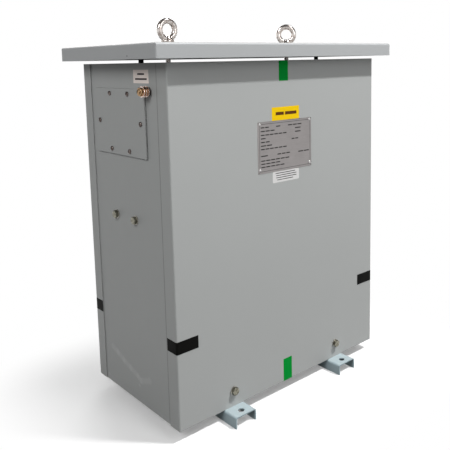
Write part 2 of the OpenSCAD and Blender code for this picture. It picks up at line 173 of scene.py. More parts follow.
paint_film.links.new(
    maths(paint_film, "ADD", maths(paint_film, "ADD", gets["Shine"], rubbed),
          maths(paint_film, "MULTIPLY", settled, DUST_DULLS)), sends["Roughness"])
skin = maths(paint_film, "MULTIPLY", noise(paint_film, place, SKIN_CELLS, 1.0), gets["Peel"])
sway = maths(paint_film, "MULTIPLY", noise(paint_film, place, SWAY_CELLS, 0.0), gets["Sway"])
paint_film.links.new(maths(paint_film, "ADD", skin, sway), sends["Height"])


def painted(name, colour, shine, mottle=0.05, dust=0.35, peel=0.012, sway=0.25, edge=0.7,
            specular=0.3):
    """Paint over folded steel. Its corners are softened by edge millimetres of film."""
    finish = bpy.data.materials.new(name)
    finish.use_nodes = True
    tree = finish.node_tree
    shader = tree.nodes["Principled BSDF"]
    shader.inputs["Specular IOR Level"].default_value = specular
    film = wire(tree, "Group", node_tree=paint_film)
    for label, value in (("Color", colour), ("Mottle", mottle), ("Dust", dust), ("Peel", peel),
                         ("Sway", sway), ("Shine", shine)):
        film.inputs[label].default_value = value
    corners = wire(tree, "Bevel", {"Radius": edge * MM}, samples=6)
    skin = wire(tree, "Bump", {"Distance": MM, "Height": film.outputs["Height"],
                               "Normal": corners.outputs["Normal"]})
    tree.links.new(film.outputs["Color"], shader.inputs["Base Color"])
    tree.links.new(film.outputs["Roughness"], shader.inputs["Roughness"])
    tree.links.new(skin.outputs["Normal"], shader.inputs["Normal"])
    return finish


def dress(finish, *nodes):
    """Gives carried-over CAD nodes their finish."""
    for name in nodes:
        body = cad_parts[name]
        if not body.material_slots:
            body.data.materials.append(finish)
        for holder in body.material_slots:
            holder.material = finish


dress(painted("foot_paint", shade(156, 173, 179), 0.42, dust=0.25), "foot_left", "foot_right")


# Base pan and grille: a shallow tray of folded steel that closes the bottom, with a slotted sheet
# over its air opening. Both are sprayed with the enclosure's grey.
GREY = shade(167, 169, 168)
enclosure_paint = painted("enclosure_paint", GREY, 0.46)
dress(enclosure_paint, "base_pan", "base_grille")


# Frame: angle posts and rails, a channel and two flat bars, all welded. They are coloured
# near-black as painted shade: they show only as dark shapes in the shadow behind the gap
# under the lid.
frame_shade_black = painted("frame_painted_shade", shade(24, 24, 24), 0.6, mottle=0.3, dust=0.12, peel=0.03,
                 specular=0.15)
dress(frame_shade_black, "corner_post_front_left", "corner_post_front_right", "corner_post_rear_left",
      "corner_post_rear_right", "top_rail_front", "top_rail_rear", "top_rail_left",
      "top_rail_right", "lifting_beam", "lid_spacers", "side_brace_left", "side_brace_right")


# Covers and side panels: folded 2 mm sheets in satin light grey. The covers wrap the corners and
# lap over the flat side panels. The left panel has a pale scuff low down, where something was
# dragged past it, two chips, and a painted shadow along its front seam.
LOW, HIGH = 0, 1
X, Y, Z = 0, 1, 2


def face(node, end, axis):
    """Where a CAD node ends along an axis, in millimetres."""
    return round(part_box(node)[end][axis] / MM, 3)


LEFT_FACE = face("left_side_panel", LOW, X)
dress(enclosure_paint, "front_cover", "rear_cover", "right_side_panel")

# Rub and shade mark: a mark along a straight line between two points, frayed along its edges.
# It draws rubbed paint and lines of painted shade alike.
FRAY_CELLS, RUB_CORE, FRAYED = 260.0, 0.35, 1.2
rub_and_shade_mark, gets, sends = new_group(
    "rub_and_shade_mark", {"From": Vector((0, 0, 0)), "To": Vector((0, 0, 0.1)), "Width": 0.003, "Fray": 0.5},
    {"Mask": 0.0})
place = wire(rub_and_shade_mark, "TexCoord").outputs["Object"]


def arrows(tree, operation, first, second, out="Vector"):
    """One sum on two arrows, and its result's output."""
    return wire(tree, "VectorMath", {0: first, 1: second}, operation=operation).outputs[out]


along = arrows(rub_and_shade_mark, "SUBTRACT", gets["To"], gets["From"])
reach = arrows(rub_and_shade_mark, "SUBTRACT", place, gets["From"])
share = wire(rub_and_shade_mark, "Clamp", {"Value": maths(
    rub_and_shade_mark, "DIVIDE", arrows(rub_and_shade_mark, "DOT_PRODUCT", reach, along, "Value"),
    arrows(rub_and_shade_mark, "DOT_PRODUCT", along, along, "Value"))}).outputs[0]
stride = wire(rub_and_shade_mark, "VectorMath", {0: along, "Scale": share}, operation="SCALE").outputs["Vector"]
away = wire(rub_and_shade_mark, "VectorMath", {0: arrows(rub_and_shade_mark, "SUBTRACT", reach, stride)}, operation="LENGTH")
frayed = maths(rub_and_shade_mark, "MULTIPLY", gets["Width"], maths(
    rub_and_shade_mark, "ADD", 1.0, maths(rub_and_shade_mark, "MULTIPLY", gets["Fray"], maths(
        rub_and_shade_mark, "SUBTRACT", noise(rub_and_shade_mark, place, FRAY_CELLS, 3.0, 0.7), 0.5))))
outwards = maths(rub_and_shade_mark, "DIVIDE", away.outputs["Value"], frayed)
rub_and_shade_mark.links.new(ramp(rub_and_shade_mark, outwards, RUB_CORE, 1.0, 1.0, 0.0), sends["Mask"])


def marked(finish, colour, marks):
    """Lays rubs and painted shade lines (ends, half width, strength) over a paint's colour."""
    tree = finish.node_tree
    shader = tree.nodes["Principled BSDF"]
    under = shader.inputs["Base Color"].links[0].from_socket
    for start, end, half_width, strength in marks:
        line = wire(tree, "Group", node_tree=rub_and_shade_mark)
        for label, value in (("From", start), ("To", end), ("Width", half_width),
                             ("Fray", FRAYED)):
            line.inputs[label].default_value = value
        shown = maths(tree, "MULTIPLY", line.outputs["Mask"], strength)
        under = tinted(tree, shown, under, colour)
    tree.links.new(under, shader.inputs["Base Color"])


# The scuff's bends and the two chips, each as its distance behind the middle and its level
SCUFF = [(101, 117), (78, 111), (52, 101), (22, 93), (-8, 85), (-20, 79), (-58, 93)]
SCUFF_WIDE, SCUFF_SHOWN = 10, 0.28
CHIPS, CHIP_WIDE, CHIP_SHOWN = [(-15, 65), (124, 39)], 4, 0.35
drag = [Vector((LEFT_FACE * MM, y * MM, z * MM)) for y, z in SCUFF]
marks = [(a, b, SCUFF_WIDE * MM, SCUFF_SHOWN) for a, b in zip(drag, drag[1:])]
for y, z in CHIPS:
    chip = Vector((LEFT_FACE * MM, y * MM, z * MM))
    marks.append((chip, chip + Vector((0, 3 * MM, MM)), CHIP_WIDE * MM, CHIP_SHOWN))
left_paint = painted("left_side_paint", GREY, 0.46)
marked(left_paint, shade(196, 199, 197), marks)

# A dark line is painted along the panel's front seam, as the contact shadow beside the cover's
# flange
SEAM_BACK, SEAM_LEVELS, SEAM_WIDE, SEAM_SHOWN = -131.8, (30, 772), 2.2, 0.4
seam_shadow = [Vector((LEFT_FACE * MM, SEAM_BACK * MM, z * MM)) for z in SEAM_LEVELS]
marked(left_paint, shade(60, 60, 57), [(*seam_shadow, SEAM_WIDE * MM, SEAM_SHOWN)])
dress(left_paint, "left_side_panel")


# Cover and side bolts: M10 hex bolts on plain washers, in zinc that has dulled. Two hold the
# foot of each cover, and two at mid height hold each side panel to its bar.
FACING = {"front": (pi / 2, 0, 0), "rear": (-pi / 2, 0, 0), "left": (0, -pi / 2, 0),
          "right": (0, pi / 2, 0), "up": (0, 0, 0)}


def begin(shape, **sizes):
    """Adds a primitive with nothing else selected."""
    bpy.ops.object.select_all(action="DESELECT")
    getattr(bpy.ops.mesh, f"primitive_{shape}_add")(**sizes)
    return bpy.context.object


def drawn(points):
    """Draws an open line through points, one vertex after another."""
    line = begin("plane", size=MM, location=points[0])
    bpy.ops.object.transform_apply()
    bpy.ops.object.mode_set(mode="EDIT")
    bpy.ops.mesh.select_mode(type="VERT")
    bpy.ops.mesh.merge(type="CENTER")
    for here, there in zip(points, points[1:]):
        step = Vector(there) - Vector(here)
        bpy.ops.mesh.extrude_region_move(TRANSFORM_OT_translate={"value": step})
    bpy.ops.object.mode_set(mode="OBJECT")
    return line


def turned(outline, steps=48):
    """Turns an outline, given in millimetres as radius and height, into a closed part."""
    part = drawn([(r * MM, 0, z * MM) for r, z in outline])
    bpy.ops.object.mode_set(mode="EDIT")
    bpy.ops.mesh.select_all(action="SELECT")
    bpy.ops.mesh.spin(steps=steps, angle=2 * pi, center=(0, 0, 0), axis=(0, 0, 1))
    bpy.ops.mesh.select_all(action="SELECT")
    bpy.ops.mesh.remove_doubles(threshold=1e-6)
    bpy.ops.mesh.normals_make_consistent(inside=False)
    bpy.ops.object.mode_set(mode="OBJECT")
    return part


def taken(part):
    """Selects one part alone and makes it the active one."""
    bpy.ops.object.select_all(action="DESELECT")
    part.select_set(True)
    bpy.context.view_layer.objects.active = part
    return part


def applied(part, kind, **settings):
    """Adds a modifier to a part and applies it at once."""
    change = part.modifiers.new(kind.lower(), kind)
    for name, value in settings.items():
        setattr(change, name, value)
    taken(part)
    bpy.ops.object.modifier_apply(modifier=change.name)


def cut(part, tool, operation):
    """Shapes a part with a tool by a solid operation, and takes the tool away."""
    applied(part, "BOOLEAN", object=tool, operation=operation, solver="EXACT")
    bpy.data.objects.remove(tool)


def hexagon(flats, height, both_ends=False):
    """A bolt head or nut that stands on the origin, its corners turned off at 30 degrees."""
    face_radius, centre = 0.475 * flats * MM, (0, 0, height / 2 * MM)
    blank = begin("cylinder", vertices=6, radius=flats / sqrt(3) * MM, depth=height * MM,
                  location=centre)
    bpy.ops.object.transform_apply()
    for end in ((1, -1) if both_ends else (1,)):
        cone = begin("cone", vertices=72, radius1=face_radius + height * MM / tan(radians(30)),
                     radius2=face_radius, depth=height * MM, location=centre,
                     rotation=(0 if end > 0 else pi, 0, 0))
        bpy.ops.object.transform_apply()
        cut(blank, cone, "INTERSECT")
    applied(blank, "BEVEL", width=0.12 * MM, segments=2, limit_method="ANGLE",
            angle_limit=radians(22))
    return blank


def washer(hole, outside, thickness, soft=0.25):
    """A stamped plain washer that lies on the origin, its upper edges rolled over."""
    r, s, t, e = hole / 2, outside / 2, thickness, soft
    return turned([(r, 0), (s - e / 2, 0), (s, e / 2), (s, t - e), (s - 0.3 * e, t - 0.3 * e),
                   (s - e, t), (r + e, t), (r, t - e), (r, 0)], 64)


# How deep a thread is cut, in pitches
THREAD_DEPTH = 0.61


def threaded(diameter, pitch, bottom, top):
    """A rod along Z with a cut thread and chamfered ends, its levels in millimetres."""
    outer, root = diameter / 2, diameter / 2 - THREAD_DEPTH * pitch
    turns = int((top - bottom) / pitch) + 4
    low = bottom - 2 * pitch
    tooth = [(root, 0), (root, 0.12), (outer, 0.44), (outer, 0.56), (root, 0.88), (root, 1)]
    rod = drawn([(r * MM, 0, (low + z * pitch) * MM) for r, z in tooth])
    applied(rod, "SCREW", axis="Z", angle=2 * pi, screw_offset=pitch * MM, iterations=turns,
            steps=28, render_steps=28, use_merge_vertices=True, merge_threshold=1e-6)
    bpy.ops.object.mode_set(mode="EDIT")
    bpy.ops.mesh.select_mode(type="EDGE")
    bpy.ops.mesh.select_all(action="SELECT")
    bpy.ops.mesh.remove_doubles(threshold=1e-6)
    bpy.ops.mesh.select_all(action="DESELECT")
    bpy.ops.mesh.select_non_manifold()
    bpy.ops.mesh.fill()
    bpy.ops.mesh.select_all(action="SELECT")
    bpy.ops.mesh.normals_make_consistent(inside=False)
    bpy.ops.object.mode_set(mode="OBJECT")
    c, past = 0.7 * pitch, 0.1
    ends = turned([(0, bottom), (outer - c, bottom), (outer + past, bottom + c + past),
                   (outer + past, top - c - past), (outer - c, top), (0, top)])
    cut(rod, ends, "INTERSECT")
    return rod


def joined(parts):
    """Makes one object of several."""
    bpy.ops.object.select_all(action="DESELECT")
    for part in parts:
        part.select_set(True)
    bpy.context.view_layer.objects.active = parts[0]
    if len(parts) > 1:
        bpy.ops.object.join()
    return parts[0]


def seated(part, at, facing="up", turn=0.0):
    """Moves a part, made on the origin, to a point in millimetres, facing one way."""
    taken(part)
    way = Euler(FACING[facing]).to_quaternion() @ Quaternion((0, 0, 1), turn)
    part.location = [v * MM for v in at]
    part.rotation_euler = way.to_euler()
    bpy.ops.object.transform_apply()
    return part


def copied(pattern):
    """Another part like the pattern, with its own mesh."""
    taken(pattern)
    bpy.ops.object.duplicate()
    return bpy.context.object


def piece(parts, name, finish, slot, *replaced, smooth=32):
    """Joins, names, finishes and mounts a piece of the object."""
    whole = taken(joined(parts))
    whole.name = name
    whole.data.materials.clear()
    whole.data.materials.append(finish)
    bpy.ops.object.shade_smooth_by_angle(angle=radians(smooth))
    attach(whole, "root")
    if replaced:
        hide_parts(*replaced)
    return whole


# Plating: the patchy tint and the fine grain of a plated or machined metal
PATCH_CELLS, GRAIN_CELLS = 210.0, 1400.0
plating, gets, sends = new_group(
    "plating",
    {"Color": shade(200, 200, 195), "Stain": shade(150, 140, 110), "Patches": 0.5,
     "Shine": 0.3, "Grain": 0.004},
    {"Color": shade(200, 200, 195), "Roughness": 0.3, "Height": 0.0})
place = wire(plating, "TexCoord").outputs["Object"]
patches = maths(plating, "MULTIPLY", ramp(plating, noise(plating, place, PATCH_CELLS, 3.0, 0.6),
                                          0.38, 0.66), gets["Patches"])
plating.links.new(tinted(plating, patches, gets["Color"], gets["Stain"]), sends["Color"])
fine = noise(plating, place, GRAIN_CELLS, 2.0)
plating.links.new(
    maths(plating, "ADD", gets["Shine"], maths(plating, "ADD", maths(
        plating, "MULTIPLY", patches, 0.18), maths(plating, "MULTIPLY", maths(
            plating, "SUBTRACT", fine, 0.5), 0.12))), sends["Roughness"])
plating.links.new(maths(plating, "MULTIPLY", fine, gets["Grain"]), sends["Height"])


def plated(name, colour, stain, patches, shine, grain=0.006):
    """A metal finish from the plating group."""
    finish = bpy.data.materials.new(name)
    finish.use_nodes = True
    tree = finish.node_tree
    shader = tree.nodes["Principled BSDF"]
    shader.inputs["Metallic"].default_value = 1.0
    coat = wire(tree, "Group", node_tree=plating)
    for label, value in (("Color", colour), ("Stain", stain), ("Patches", patches),
                         ("Shine", shine), ("Grain", grain)):
        coat.inputs[label].default_value = value
    skin = wire(tree, "Bump", {"Distance": MM, "Height": coat.outputs["Height"]})
    tree.links.new(coat.outputs["Color"], shader.inputs["Base Color"])
    tree.links.new(coat.outputs["Roughness"], shader.inputs["Roughness"])
    tree.links.new(skin.outputs["Normal"], shader.inputs["Normal"])
    return finish


FRONT_FACE = face("front_cover", LOW, Y)
M10, M10_PITCH, M10_FLATS = 10, 1.5, 16
BOLT_HEAD, COLLAR_RADIUS = 6.4, 7.4
RING_HOLE, RING_WIDE, RING_THICK = 10.6, 20, 2


def hex_bolt(shank):
    """An M10 bolt with its washer's seat on the origin and its head above it."""
    head = seated(hexagon(M10_FLATS, BOLT_HEAD), (0, 0, RING_THICK))
    under, over = RING_THICK - 0.1, RING_THICK + 0.3
    collar = turned([(0, under), (COLLAR_RADIUS, under), (COLLAR_RADIUS, over), (0, over)])
    return joined([head, collar, threaded(M10, M10_PITCH, -shank, RING_THICK + 0.2)])


old_zinc = plated("dulled_zinc", shade(134, 132, 119), shade(66, 62, 52), 0.7, 0.24)
pale_zinc = plated("pale_zinc", shade(172, 170, 164), shade(120, 114, 104), 0.5, 0.3)
COVER_BOLT_X, COVER_BOLT_LEVEL, COVER_SHANK = 166.5, 62, 14
SIDE_BOLT_BACK, SIDE_BOLT_APART, SIDE_BOLT_LEVEL, SIDE_SHANK = 8.5, 39.5, 446, 15.5
cover_bolt, side_bolt = hex_bolt(COVER_SHANK), hex_bolt(SIDE_SHANK)
flat_ring = washer(RING_HOLE, RING_WIDE, RING_THICK)
for facing, side in (("front", -1), ("rear", 1), ("left", -1), ("right", 1)):
    if facing in ("front", "rear"):
        name, pattern, turns = facing + "_cover_bolts", cover_bolt, (14, 41)
        seats = [(x * COVER_BOLT_X, -side * FRONT_FACE, COVER_BOLT_LEVEL) for x in (-1, 1)]
    else:
        name, pattern, turns = facing + "_side_bolts", side_bolt, (8, 33)
        seats = [(-side * LEFT_FACE, SIDE_BOLT_BACK + y * SIDE_BOLT_APART, SIDE_BOLT_LEVEL)
                 for y in (-1, 1)]
    bolts = [seated(copied(pattern), at, facing, radians(turn)) for at, turn in zip(seats, turns)]
    piece(bolts, name + "_m10", old_zinc, "zinc_plate", name)
    rings = [seated(copied(flat_ring), at, facing) for at in seats]
    piece(rings, name.replace("bolts", "washers"), pale_zinc, "zinc_plate")
for pattern in (cover_bolt, side_bolt, flat_ring):
    bpy.data.objects.remove(pattern)


# Lid: a folded pan of 2 mm sheet with welded, ground corners, sprayed like the rest but a touch
# lighter, as painted light from above. It sits on the spacers and is clamped by the lifting eyes.
# One dimple shows in its left rim, painted as a dark spot of shade.
DIMPLE, DIMPLE_WIDE, DIMPLE_SHOWN = (face("lid", LOW, X), -95.5, 789.7), 2.2, 0.8
lid_paint = painted("lid_paint", shade(169, 171, 172), 0.44)
# The dimple's shade is painted as a dark spot on the left rim
dimple_shade = Vector([v * MM for v in DIMPLE])
marked(lid_paint, shade(60, 58, 55), [(dimple_shade, dimple_shade + Vector((0, MM, 0)), DIMPLE_WIDE * MM,
                                       DIMPLE_SHOWN)])
dress(lid_paint, "lid")


# Lifting eyes: forged M12 eye bolts in bright zinc, each through a washer, the lid and the
# beam, with a nut below. The left one is screwed down less, and the right one is turned.
EYE_WASHER, WASHER_UP = 30, 1.5


def middle(node, axis):
    """The middle of a CAD node along an axis, in millimetres."""
    return round((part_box(node)[LOW][axis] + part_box(node)[HIGH][axis]) / 2 / MM, 3)


EYE_X, EYE_BACK = face("eye_washers", HIGH, X) - EYE_WASHER / 2, middle("eye_washers", Y)
LID_TOP, NUT_LEVEL = face("lid", HIGH, Z), face("eye_nuts", LOW, Z)
EYE_RADIUS, EYE_BAR, EYE_UP = 19.75, 6.75, 27
EYE_THREAD, EYE_PITCH, EYE_SHANK, EYE_HOLE = 12, 1.75, 62.5, 12.3
EYE_NUT_FLATS, EYE_NUT_HIGH = 18, 10
NECK = [(0, 0), (14.6, 0), (15, 0.4), (15, 4.2), (14.2, 5), (12.5, 5.6), (10, 8), (8.2, 11),
        (7.2, 14), (0, 15)]
bright_zinc = plated("bright_zinc", shade(214, 209, 205), shade(134, 108, 96), 0.65, 0.12)


def eye_bolt():
    """An eye bolt with its collar's seat on the origin and its ring along X."""
    ring = begin("torus", major_segments=96, minor_segments=32, major_radius=EYE_RADIUS * MM,
                 minor_radius=EYE_BAR * MM, location=(0, 0, EYE_UP * MM), rotation=(pi / 2, 0, 0))
    bpy.ops.object.transform_apply()
    forging = joined([ring, turned(NECK, 64)])
    applied(forging, "REMESH", mode="VOXEL", voxel_size=0.7 * MM)
    applied(forging, "SMOOTH", factor=0.6, iterations=5)
    return joined([forging, threaded(EYE_THREAD, EYE_PITCH, -EYE_SHANK, 0.2)])


def nut(flats, height, bore):
    """A plain hex nut that stands on the origin, its bore chamfered at both ends."""
    block = hexagon(flats, height, both_ends=True)
    r, c = bore / 2, 0.6
    tool = turned([(0, -1), (r + c + 1, -1), (r, c), (r, height - c), (r + c + 1, height + 1),
                   (0, height + 1)])
    cut(block, tool, "DIFFERENCE")
    return block


pattern = eye_bolt()
for name, side, lift, turn in (("lifting_eye_left", -1, 6, 0), ("lifting_eye_right", 1, 0, -38)):
    seat = (side * EYE_X, EYE_BACK, LID_TOP + WASHER_UP + lift)
    eye = seated(copied(pattern), seat, "up", radians(turn))
    piece([eye], name + "_forged", bright_zinc, "zinc_plate", name, smooth=50)
bpy.data.objects.remove(pattern)
washers = [seated(washer(EYE_HOLE, EYE_WASHER, WASHER_UP), (side * EYE_X, EYE_BACK, LID_TOP))
           for side in (-1, 1)]
piece(washers, "eye_washers_zinc", bright_zinc, "zinc_plate", "eye_washers")
nuts = [seated(nut(EYE_NUT_FLATS, EYE_NUT_HIGH, EYE_HOLE), (side * EYE_X, EYE_BACK, NUT_LEVEL),
               "up", side * 0.3) for side in (-1, 1)]
piece(nuts, "eye_nuts_m12", bright_zinc, "zinc_plate", "eye_nuts")


# Gland plate: a blank 3 mm plate over the cable opening, on a rubber gasket, held by six M6
# pan-head screws with cross recesses in zinc that has gone dull.
GLAND_FACE = face("gland_plate", LOW, X)
GLAND_CENTRE = (middle("gland_plate", Y), middle("gland_plate", Z))
SCREW, SCREW_PITCH, SCREW_SHANK = 6, 1, 12
# The screws' distances behind and above the plate's centre
SCREW_PLACES = [(-85, 0), (85, 0), (-37, -60), (-37, 60), (37, -60), (37, 60)]
dress(enclosure_paint, "gland_plate")
dress(painted("gasket_rubber", shade(70, 70, 69), 0.75, mottle=0.3, dust=0.1, peel=0.05, sway=0.0,
              edge=0.2), "gland_gasket")


def pan_screw(diameter, shank):
    """A screw with its head's seat on the origin, a crown of 0.6 and a width of 1.7 diameters."""
    wide, crown = 0.85 * diameter, 0.6 * diameter
    curve = [(wide * sin(a), crown * (0.3 + 0.7 * cos(a))) for a in
             [i * pi / 16 for i in range(8, -1, -1)]]
    head = turned([(0, 0), (wide - 0.25, 0), (wide, 0.25)] + curve, 40)
    wings = []
    for turn in (0, pi / 2):
        wing = begin("cube", size=1, location=(0, 0, crown * MM), rotation=(0, 0, turn))
        wing.scale = (0.95 * diameter * MM, 0.2 * diameter * MM, 0.8 * crown * MM)
        bpy.ops.object.transform_apply()
        wings.append(wing)
    cut(wings[0], wings[1], "UNION")
    cut(head, wings[0], "DIFFERENCE")
    return joined([head, threaded(diameter, SCREW_PITCH, -shank, 0.3)])


pattern = pan_screw(SCREW, SCREW_SHANK)
screws = [seated(copied(pattern), (GLAND_FACE, GLAND_CENTRE[0] + y, GLAND_CENTRE[1] + z), "left",
                 0.7 * i) for i, (y, z) in enumerate(SCREW_PLACES)]
bpy.data.objects.remove(pattern)
dull_zinc = plated("dull_zinc", shade(112, 102, 98), shade(50, 38, 36), 0.65, 0.2)
piece(screws, "gland_screws_m6", dull_zinc, "zinc_plate", "gland_screws")


# Earth stud: an M10 brass bar with a hex head inside the panel. Outside it carries a plated
# nut, three brass washers with thin nuts between them, and a last nut for the cable lugs.
STUD = (LEFT_FACE, middle("earth_stud", Y), middle("earth_stud", Z))
SHEET, STUD_OUT = 2, 26
NUT, THIN_NUT, STUD_HOLE = 5.5, 3.2, 10.3
BRASS_WASHER_WIDE, BRASS_WASHER = 22, 2
brass = plated("turned_brass", shade(176, 144, 108), shade(84, 56, 40), 0.35, 0.12)
pale_brass = plated("pale_brass", shade(226, 206, 196), shade(150, 120, 104), 0.25, 0.14)


def on_stud(part, out, turn=0.0):
    """Slides a part onto the stud, to a distance outside the panel."""
    return seated(part, (STUD[0] - out, STUD[1], STUD[2]), "left", turn)


inner_head = on_stud(hexagon(M10_FLATS, NUT, both_ends=True), -SHEET - NUT, 0.2)
bar = on_stud(threaded(M10, M10_PITCH, -SHEET - 0.5, STUD_OUT), 0)
piece([bar, inner_head], "earth_stud_threaded", brass, "brass", "earth_stud")
inner_nut = on_stud(nut(M10_FLATS, NUT, STUD_HOLE), 0, 0.1)
piece([inner_nut], "earth_nut_inner", dull_zinc, "zinc_plate")
level, stud_washers, stud_nuts = NUT, [], []
for height, turn in ((THIN_NUT, 0.5), (THIN_NUT, 0.25), (NUT, 0.8)):
    stud_washers.append(on_stud(washer(STUD_HOLE, BRASS_WASHER_WIDE, BRASS_WASHER), level))
    level += BRASS_WASHER
    stud_nuts.append(on_stud(nut(M10_FLATS, height, STUD_HOLE), level, turn))
    level += height
piece(stud_washers, "earth_washers_brass", pale_brass, "brass", "earth_washers")
piece(stud_nuts, "earth_nuts_brass", brass, "brass", "earth_nuts")


# Rating plate: a blank anodised aluminium plate with a rolled edge, ruled with plain bars and
# held by four dome rivets.
PLATE_CENTRE = (middle("rating_plate", X), middle("rating_plate", Z))
PLATE_SIZE = [face("rating_plate", HIGH, axis) - face("rating_plate", LOW, axis) for axis in (X, Z)]
PLATE_THICK, PLATE_EDGE, PLATE_CORNER, CHAMFER = 1.0, 0.4, 1.8, 1.5


def slip(width, height, thickness, corner, at=(0, 0)):
    """A thin rounded sheet that lies on the origin's plane, in millimetres."""
    blank = begin("plane", size=1, location=(at[0] * MM, at[1] * MM, 0))
    blank.scale = (width * MM, height * MM, 1)
    bpy.ops.object.transform_apply()
    bpy.ops.object.mode_set(mode="EDIT")
    bpy.ops.mesh.select_all(action="SELECT")
    if corner:
        bpy.ops.mesh.bevel(offset=corner * MM, segments=5, affect="VERTICES")
    bpy.ops.mesh.extrude_region_move(TRANSFORM_OT_translate={"value": (0, 0, thickness * MM)})
    bpy.ops.mesh.select_all(action="SELECT")
    bpy.ops.mesh.normals_make_consistent(inside=False)
    bpy.ops.object.mode_set(mode="OBJECT")
    return blank


BRUSH_CELLS, CLOUD_CELLS, BRUSH_STRETCH = 2600.0, 30.0, 0.02


def brushed(name, colour, shine):
    """Aluminium sheet with fine brush lines along X."""
    finish = bpy.data.materials.new(name)
    finish.use_nodes = True
    tree = finish.node_tree
    shader = tree.nodes["Principled BSDF"]
    shader.inputs["Metallic"].default_value = 1.0
    turn = wire(tree, "Mapping", {"Vector": wire(tree, "TexCoord").outputs["Object"],
                                  "Scale": (BRUSH_STRETCH, 1.0, 1.0)})
    lines = noise(tree, turn.outputs[0], BRUSH_CELLS, 2.0)
    clouds = noise(tree, wire(tree, "TexCoord").outputs["Object"], CLOUD_CELLS, 3.0)
    tone = wire(tree, "HueSaturation", {"Color": colour, "Value": ramp(
        tree, maths(tree, "ADD", maths(tree, "MULTIPLY", lines, 0.6), maths(
            tree, "MULTIPLY", clouds, 0.4)), 0.3, 0.7, 0.9, 1.08)})
    tree.links.new(tone.outputs[0], shader.inputs["Base Color"])
    tree.links.new(ramp(tree, lines, 0.2, 0.8, shine - 0.06, shine + 0.08),
                   shader.inputs["Roughness"])
    skin = wire(tree, "Bump", {"Distance": 0.01 * MM, "Height": lines})
    tree.links.new(skin.outputs["Normal"], shader.inputs["Normal"])
    return finish


plate = slip(*PLATE_SIZE, PLATE_EDGE, PLATE_CORNER)
taken(plate)
bpy.ops.object.mode_set(mode="EDIT")
bpy.ops.mesh.select_mode(type="FACE")
bpy.ops.mesh.select_all(action="DESELECT")
bpy.ops.object.mode_set(mode="OBJECT")
for facet in plate.data.polygons:
    facet.select = facet.normal.z > 0.9
bpy.ops.object.mode_set(mode="EDIT")
bpy.ops.mesh.inset(thickness=CHAMFER * MM)
bpy.ops.transform.translate(value=(0, 0, (PLATE_THICK - PLATE_EDGE) * MM))
bpy.ops.object.mode_set(mode="OBJECT")
applied(plate, "BEVEL", width=0.15 * MM, segments=2, limit_method="ANGLE", angle_limit=radians(15))
seated(plate, (PLATE_CENTRE[0], FRONT_FACE, PLATE_CENTRE[1]), "front")
anodised = brushed("anodised_sheet", shade(150, 146, 145), 0.34)
piece([plate], "rating_plate_blank", anodised, "plate_aluminium", "rating_plate", smooth=3)

RIVET = [(0, -3), (1.6, -3), (1.6, 0), (3.1, 0), (3.2, 0.25), (2.9, 0.8), (2.2, 1.25), (1.2, 1.5),
         (0, 1.55)]
RIVET_OUT, RIVET_LEVELS = 77.5, (538.5, 640)
rivet = turned(RIVET, 32)
rivets = [seated(copied(rivet), (PLATE_CENTRE[0] + x * RIVET_OUT, FRONT_FACE - PLATE_THICK, z),
                 "front") for x in (-1, 1) for z in RIVET_LEVELS]
bpy.data.objects.remove(rivet)
rivet_metal = plated("rivet_aluminium", shade(196, 195, 194), shade(96, 94, 92), 0.6, 0.18)
piece(rivets, "plate_rivets", rivet_metal, "plate_aluminium")

# Plain bars, each a row's distance from the plate's top and its start and length along it
BARS = [(12.5, -75, 24), (20.5, -75, 41), (29, -75, 78), (36.5, -75, 14), (44.5, -75, 26),
        (52.5, -75, 33), (60, -75, 78), (75, -75, 20), (85.5, -75, 86), (92.5, -75, 57),
        (99.5, -75, 70), (12.5, -29, 13), (12.5, 8, 43), (20.5, 30, 18), (29, 30, 18),
        (44.5, 19, 21), (75, -26, 39), (76, 40, 35)]
BAR, STRETCH, SPACE = 2.4, 14, 2.2
INK, SUNK = 0.04, 0.01


def ruled(bars, tall, top):
    """Plain bars below a level, each broken into short stretches."""
    marks = []
    for down, start, length in bars:
        count = max(1, round(length / STRETCH))
        stretch = (length - (count - 1) * SPACE) / count
        for i in range(count):
            centre = start + i * (stretch + SPACE) + stretch / 2
            marks.append(slip(stretch, tall, INK, 0, (centre, top - down)))
    return joined(marks)


# The grey ink prints the bars on the plate and labels, and also paints the plate's groove shade
print_and_shade_ink = painted("grey_print_and_shade", shade(44, 42, 42), 0.6, mottle=0.1, dust=0.0, peel=0.0, sway=0.0,
              edge=0.05, specular=0.1)
on_plate = (PLATE_CENTRE[0], FRONT_FACE - PLATE_THICK + SUNK, PLATE_CENTRE[1])
bars = seated(ruled(BARS, BAR, PLATE_SIZE[1] / 2), on_plate, "front")
piece([bars], "plate_bars", print_and_shade_ink, "plate_aluminium")

# A fine dark line runs round the plate, and is joined to each corner by a mitre. Both are
# painted shade: the line for a groove pressed round the plate, the mitres for its corner folds.
BORDER, FINE = 5, 0.8
wide, high = PLATE_SIZE[0] - 2 * BORDER, PLATE_SIZE[1] - 2 * BORDER
lines = [slip(wide, FINE, INK, 0, (0, side * high / 2)) for side in (-1, 1)]
lines += [slip(FINE, high, INK, 0, (side * wide / 2, 0)) for side in (-1, 1)]
for x in (-1, 1):
    for z in (-1, 1):
        mitre_shade = slip((BORDER - CHAMFER) * sqrt(2), FINE, INK, 0)
        centre = [side * (size - BORDER - CHAMFER) / 2 for side, size in zip((x, z), PLATE_SIZE)]
        lines.append(seated(mitre_shade, (*centre, 0), "up", x * z * pi / 4))
piece([seated(joined(lines), on_plate, "front")], "plate_groove_shade", print_and_shade_ink, "plate_aluminium")


